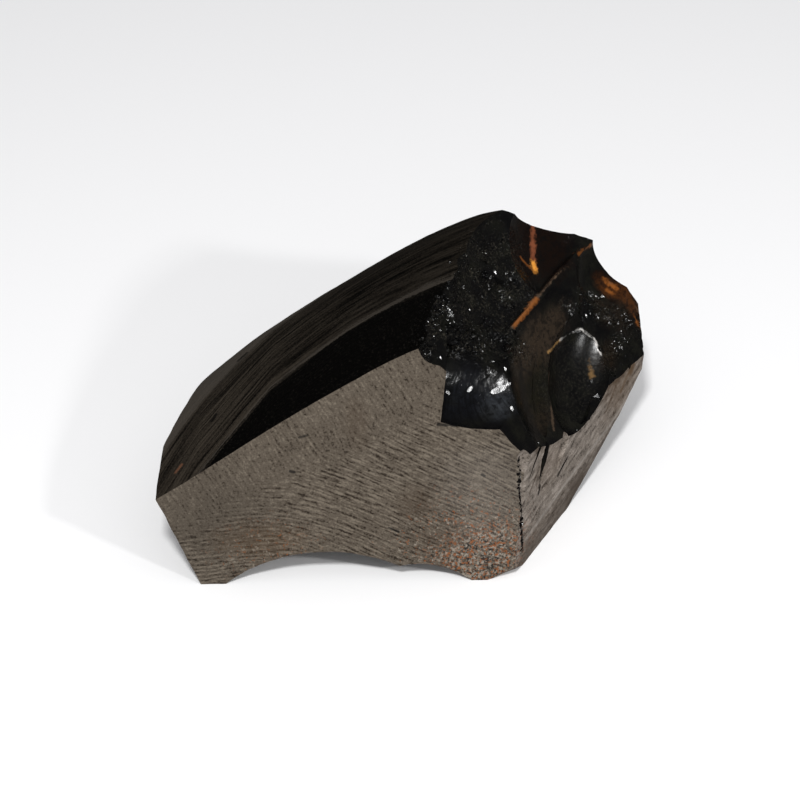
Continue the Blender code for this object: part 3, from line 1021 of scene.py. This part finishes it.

# Orange, pale and dark veins, with painted highlights along the ridge and the inner shell's rim
# and painted shade along a crease: from, to, width, colour and strength.
pale = (0.13, 0.085, 0.055)
bright = (0.80, 0.33, 0.05)
orange = (0.24, 0.078, 0.016)
dull = (0.20, 0.062, 0.028)
gold = (0.30, 0.17, 0.06)
# a pale colour that paints the highlight on the inner shell's rim
paintedRimHighlight = (0.55, 0.53, 0.50)
veinsAndPaintedLight = [
    ((15.1, 10.4, -1.9), (13.4, 8.5, -2.5), 0.50, dull, 0.75),
    ((13.4, 8.5, -2.5), (10.4, 6.2, -2.6), 0.50, dull, 0.9),
    ((10.9, 6.7, -2.6), (9.9, 5.9, -2.6), 0.50, bright, 1.0),
    ((8.8, 9.0, -2.3), (9.7, 5.7, -2.5), 0.26, orange, 0.6),
    # along the ridge: orange, and a pale line that is a painted highlight of its edge
    ((23.2, 0.9, -0.8), (9.5, 3.6, -0.3), 0.26, pale, 0.7),
    ((22.5, 1.1, -0.7), (18.0, 2.3, -0.3), 0.40, orange, 0.6),
    ((9.5, 3.6, -0.3), (-5.6, 4.8, 0), 0.24, pale, 0.6),
    ((3.0, 4.0, 0), (-5.0, 4.7, 0), 0.38, orange, 0.8),
    ((0.5, -3.7, -2.6), (5.0, -4.5, -2.9), 0.22, gold, 0.7),
    # painted highlight along the inner shell's rim
    ((5.0, -4.5, -2.9), (9.2, -5.8, -1.8), 0.20, paintedRimHighlight, 0.6),
    ((9.2, -5.8, -1.8), (9.8, -8.5, -1.3), 0.16, paintedRimHighlight, 0.9),
    ((9.8, -8.5, -1.3), (8.2, -10.6, -0.8), 0.20, paintedRimHighlight, 1.0),
    ((6.8, -9.8, -1.8), (5.0, -12.1, -2.3), 0.35, gold, 0.5),
    ((-1.3, -6.0, -3.4), (-10.5, -11.1, -1.8), 0.20, pale, 0.35),
    ((22.3, -4.6, -2.0), (21.9, -9.0, -1), 0.40, orange, 0.95),
    ((20.9, -6.2, -2.0), (19.6, -13.4, 0), 0.35, orange, 0.85),
    ((22.5, -6.0, -2.0), (21.5, -12.4, 0), 0.22, pale, 0.5),
    ((12.0, -0.5, -2.5), (9.0, -1.6, -2.5), 0.30, orange, 0.3),
    ((8.0, 1.5, -2.5), (5.0, 2.0, -2.5), 0.40, dull, 0.5),
    # a black line painted along the crease left of the lens: painted shade of the crease
    ((-6.8, -0.4, -1.9), (-9.0, -1.9, -1.9), 0.50, black, 0.8),
    ((-9.0, -1.9, -1.9), (-13.1, -5.3, -1.4), 1.00, black, 0.85),
    ((-13.1, -5.3, -1.4), (-15.8, -8.9, -0.7), 1.10, black, 0.85),
]

# Fans of fine lines that spread from where the break began: that point, the number of lines,
# the middle and size of the patch, and the height of the lines.  The first is dark as well.
hackles = [
    ((-10.0, 9.0, -2), 22.0, (-18.0, 3.4, -3.5), (8, 7, 7), 0.03),
    ((14.0, 0.0, -1), 16.0, (2.0, -8.5, -4), (9, 7, 6), 0.02),
    ((9.0, 3.5, 0), 14.0, (14.0, 8.0, -2), (9, 7, 6), 0.02),
    ((5.0, 18.0, 0), 14.0, (-3.0, 11.0, -2), (10, 8, 6), 0.03),
]


def crushedMask(n, vector, lines):
    crushed = 0.0
    for start, end, width in lines:
        mask = n.streak(vector, start, end, width, 0.5, 0.7, 0.4)
        crushed = n.calc("MAXIMUM", crushed, mask)
    return crushed


def crushedHeight(n, vector):
    # the height of the facets, and how frosted each one is
    coarse = n.group("facets", Vector=vector, Scale=1.7)
    fine = n.group("facets", Vector=vector, Scale=4.2)
    frost = n.ramp(n.calc("ADD", coarse["Tint"], fine["Tint"]), 1.40, 0.75)
    return n.mix((fine["Height"], 1.1), start=coarse["Height"]), frost


def glossColour(n, finish, end, shattered):
    patchy = n.ramp(n.noise(end, 0.25, 4.0, 0.55), 0.4, 0.7)
    colour = n.blend(patchy, finish["colour"], finish["green"])
    for at, size, tint, strength, soft in tintsAndPaintedSheen:
        colour = n.paint(colour, tint, n.spot(end, at, size, soft, 0.6, 0.5), strength)
    cloudy = n.ramp(n.noise(end, 1.1, 5.0, 0.7, 0.5), 0.40, 0.66)
    colour = n.paint(colour, finish["colour"], cloudy, 0.75)
    strike, count, at, size, _ = hackles[0]
    lines = n.group("hackle", Vector=end, Strike=strike, Lines=count * 1.6)["Height"]
    lines = n.times(n.ramp(lines, 0.46, 0.60), n.spot(end, at, size))
    colour = n.paint(colour, finish["colour"], lines, 0.6)
    # fine grey speckle
    mottle = n.ramp(n.noise(end, 2.8, 5.0, 0.75), 0.50, 0.64)
    shell = n.spot(end, *finish["shell"], 0.3)
    speckled = n.times(n.mix((shell, 0.35), start=shattered), mottle)
    colour = n.paint(colour, finish["speckle"], speckled, 0.8)
    for start, stop, width, tint, strength in veinsAndPaintedLight:
        colour = n.paint(colour, tint, n.streak(end, start, stop, width, 0.8, 1.6, 1.9), strength)
    return colour


def glossHeight(n, end, facets):
    height = facets
    for strike, count, at, size, rise in hackles:
        lines = n.group("hackle", Vector=end, Strike=strike, Lines=count)["Height"]
        height = n.mix((n.times(lines, n.spot(end, at, size)), rise), start=height)
    soft, sharp = n.noise(end, 0.9, 4.0, 0.55, 0.8), n.noise(end, 5.0, 4.0, 0.6)
    return n.mix((soft, 0.03), (sharp, 0.004), start=height)


def glossSurface(n, finish):
    # the broken end: black glass, shattered fine in places, so that smooth stone shows between
    end = n.inFrame(endMiddle, Matrix((endAlong, endUp, endNormal)))
    upper = n.spot(end, *finish["upper"], 0.3, 0.4)
    crushed = crushedMask(n, end, finish["crushed"])
    shattered = n.calc("MAXIMUM", upper, crushed)
    inPlaces = n.ramp(n.noise(end, 0.45, 3.0, 0.6), 0.42, 0.58, 0.08, 1.0)
    colour = glossColour(n, finish, end, n.times(shattered, inPlaces))
    broken, frost = crushedHeight(n, end)
    upper = n.times(upper, inPlaces)
    crushed = n.times(crushed, n.ramp(inPlaces, 0, 1, 0.5, 1))
    share = n.mix((upper, finish["speckleDepth"]), (crushed, finish["crushedDepth"]), start=0.01)
    height = glossHeight(n, end, n.times(broken, share))
    rough = finish["roughness"]
    for at, size, more in finish["satin"]:
        rough = n.mix((n.spot(end, at, size, 0.3), more), start=rough)
    rough = n.mix((n.times(shattered, frost), finish["frost"]), start=rough)
    return colour, rough, height


skinFinish = {
    "colour": (0.0008, 0.0007, 0.0006),
    "streak": (0.0170, 0.0150, 0.0125),
    "brown": (0.0120, 0.0093, 0.0065),
    "brownStreak": (0.048, 0.039, 0.029),
    "pale": (0.070, 0.060, 0.049),
    "roughness": 0.45,
    "sharpRoughness": 0.14,    # of the facets that aren't frosted
    "shader": {"Specular IOR Level": 0.06},
    "farEnd": (2.0, 5.0),  # how many rings along the brown turns darker
    "blackBelow": 0.97,    # rails: black from the front edge up to here, then brown, then a pale rim that is a painted sheen
    "paintedSheenAbove": 1.86,
    "crushed": [   # shattered along the edge with the broken end, in the sizes of the whole stone
        ((11.0, 16.0, 39.5), (6.5, 3.0, 39.3), 1.6),
        ((6.5, 3.0, 39.3), (3.0, -7.0, 37.5), 2.2),
    ],
}


def skinColour(n, finish, along, edge, grain, mix):
    low, high = finish["blackBelow"], finish["paintedSheenAbove"]
    dark = n.blend(n.ramp(grain, 0.56, 0.70), finish["colour"], finish["streak"])
    light = n.blend(n.ramp(mix, 0.62, 0.92), finish["brown"], finish["brownStreak"])
    light = n.blend(n.ramp(mix, 0.74, 0.58), light, finish["colour"])
    light = n.blend(n.ramp(along, *finish["farEnd"], 0.0, 0.5), light, finish["colour"])
    colour = n.blend(n.ramp(edge, low + 0.06, low + 0.14), dark, light)
    # the light line between the black and the brown
    line = n.calc("ABSOLUTE", n.minus(edge, low + 0.13))
    colour = n.paint(colour, finish["pale"], n.ramp(line, 0.028, 0.008), 0.45)
    # pale along the rim: a painted sheen, the grazing light that the rim reflects
    return n.paint(colour, finish["pale"], n.ramp(edge, high, high + 0.12), 0.7)


def skinSurface(n, finish):
    # the rounded top: streaks along the rails of the nodule
    plain = n.inFrame()
    across = n.add("Attribute", {"attribute_name": "around"}).outputs["Fac"]
    along = n.add("Attribute", {"attribute_name": "along"}).outputs["Fac"]
    streaks = n.flowNoise(along, across, (0.35, 11.0), 5.0, 0.65, 0.2)
    fineStreaks = n.flowNoise(along, across, (1.6, 42.0), 4.0, 0.6, 0.2)
    grain = n.noise(plain, 3.2, 4.0, 0.7)
    edge = n.mix((grain, 0.10), (streaks, 0.20), start=n.minus(across, 0.07))
    mix = n.mix((grain, 0.35), (streaks, 0.5), (fineStreaks, 0.6))
    colour = addMarks(n, plain, skinColour(n, finish, along, edge, grain, mix), skinMarks)
    crushed = crushedMask(n, plain, finish["crushed"])
    broken, frost = crushedHeight(n, plain)
    broken = n.times(broken, crushed)
    height = n.mix((grain, 0.10), (streaks, 0.25), (fineStreaks, 0.10), (broken, 0.6))
    sharp = n.times(crushed, n.minus(1.0, frost))
    rough = n.mix((sharp, finish["sharpRoughness"] - finish["roughness"]), start=finish["roughness"])
    return colour, rough, height


dullFinish = {
    "colour": (0.033, 0.028, 0.022),
    "pale": (0.088, 0.076, 0.062),
    "roughness": 0.55,
    "streakLean": 25,
}


def dullSurface(n, finish):
    # the plain breaks of the back, the left end and the underside
    plain = n.inFrame()
    broad = n.noise(plain, 0.30, 4.0, 0.6)
    fine = n.noise(plain, 2.0, 5.0, 0.7)
    flow = n.placed(plain, rotation=(0, math.radians(finish["streakLean"]), 0), scale=(0.18, 0.5, 1.6))
    streaks = n.noise(flow, 1.0, 5.0, 0.65, 0.4)
    mix = n.ramp(n.mix((streaks, 0.45), (fine, 0.35), (broad, 0.4)), 0.48, 0.74)
    colour = addRust(n, plain, n.blend(mix, finish["colour"], finish["pale"]))
    height = n.mix((broad, 0.5), (streaks, 0.15), (fine, 0.15))
    return colour, finish["roughness"], height


# The studio.

studio = {
    "floorColour": (0.95, 0.95, 0.95),
    "floorRoughness": 0.9,
    "shader": {"Specular IOR Level": 0.1},     # of the floor
    "mirroredFloor": (0.075, 0.069, 0.062),
    "worldColour": (0.50, 0.50, 0.51),
    "mirroredWorld": (0.070, 0.066, 0.060),
    "lamps": {   # place, size and power
        "keyLight": ((-0.033, -0.236, 0.402), 0.05, 1.22),
        "sideLight": ((0.300, -0.235, 0.258), 0.03, 0.49),
    },
    "lampTarget": (0, 0, 0.02),
    "target": (0.0, 0.0, 20.0),     # what the camera looks at, in the stone's millimetres
    "distance": 0.333, "elevation": 40.0, "lens": 100.0,
}


def addSoftbox(name, at, size, power, target):
    way = (Vector(target) - Vector(at)).to_track_quat("-Z", "Y").to_euler()
    light = newPiece(bpy.ops.object.light_add, type="AREA", location=at, rotation=way)
    light.name = name
    light.data.shape = "SQUARE"
    light.data.size = size
    light.data.energy = power


def seenOrMirrored(n, seen, mirrored):
    # glossy stone mirrors the room darker than the eye sees it, as if dark cards stood around
    return n.blend(n.add("LightPath").outputs["Is Glossy Ray"], seen, mirrored)


def floorSurface(n, settings):
    colour = seenOrMirrored(n, settings["floorColour"], settings["mirroredFloor"])
    return colour, settings["floorRoughness"], None


def makeStudio(settings):
    floor = newPiece(bpy.ops.mesh.primitive_plane_add, size=6)
    floor.name = "studioFloor"
    floor.data.materials.append(makeLook("paleFloor", floorSurface, settings))
    for name, (at, size, power) in settings["lamps"].items():
        addSoftbox(name, at, size, power, settings["lampTarget"])
    world = bpy.data.worlds.new("studioWorld")
    world.use_nodes = True
    n = NodeSheet(world.node_tree)
    colour = seenOrMirrored(n, settings["worldColour"], settings["mirroredWorld"])
    n.connect(colour, world.node_tree.nodes["Background"].inputs["Color"])
    bpy.context.scene.world = world
    bpy.context.scene.view_settings.view_transform = "Standard"
    lean = math.radians(settings["elevation"])
    away = Vector((0, -math.cos(lean), math.sin(lean))) * settings["distance"]
    at = toScene(settings["target"]) + away
    camera = newPiece(bpy.ops.object.camera_add, location=at, rotation=(math.pi / 2 - lean, 0, 0))
    camera.name = "studioCamera"
    camera.data.lens = settings["lens"]
    camera.data.clip_start = 0.01
    bpy.context.scene.camera = camera


def makeLooks():
    return {"ribbed": makeLook("ribbedFlat", ribbedSurface, ribbedFinish),
            "grained": makeLook("grainedFlat", grainedSurface, grainedFinish),
            "gloss": makeLook("glassyBreak", glossSurface, glossFinish),
            "skin": makeLook("streakedSkin", skinSurface, skinFinish),
            "dull": makeLook("dullBreak", dullSurface, dullFinish)}


smoothAngle = 24


def cutFlats(stone, looks):
    for name, row in flatBreaks.items():
        slab = newCutters(name)
        makeFlatBreak(name, row, looks, slab)
        cutAway(stone, slab)


def cutHollows(stone, looks):
    cutters = newCutters("hollows")
    for name, row in hollows.items():
        makeHollow(name, row, looks["gloss"], cutters)
    makeFrontBite(frontBite, looks["gloss"], cutters)
    for name, row in scars.items():
        makeScar(name, row, looks, cutters)
    for centre, radii in arch:
        piece = makeBall("arch", centre, radii)
        finishBall(piece, looks["dull"], rough=0.3, roughSize=4.0)
        moveTo(piece, cutters)
    cutAway(stone, cutters)


def cutChips(stone, looks):
    dice = random.Random(chipSeed)
    chips = newCutters("chips")
    for row in chipBands.values():
        scatterChips(stone, row, looks["gloss"], chips, dice)
    for row in glints.values():
        placeGlints(row, looks["gloss"], chips)
    for row in cracks:
        makeCrack(row, looks["gloss"], chips)
    cutAway(stone, chips)


def makeStone(looks):
    stone = makeNodule(nodule, looks["skin"])
    print("nodule ready:", len(stone.data.polygons), "faces")
    for cut, done in ((cutFlats, "flat breaks"), (cutHollows, "hollows"), (cutChips, "chips and cracks")):
        cut(stone, looks)
        print(done, "cut:", len(stone.data.polygons), "faces")
    selectOnly(stone)
    bpy.ops.object.shade_smooth_by_angle(angle=math.radians(smoothAngle))
    return stone


looks = makeLooks()
print("finishes ready")
stone = makeStone(looks)
print("stone ready")
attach(stone, "root")
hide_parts("shungite")
makeStudio(studio)
print("studio ready")
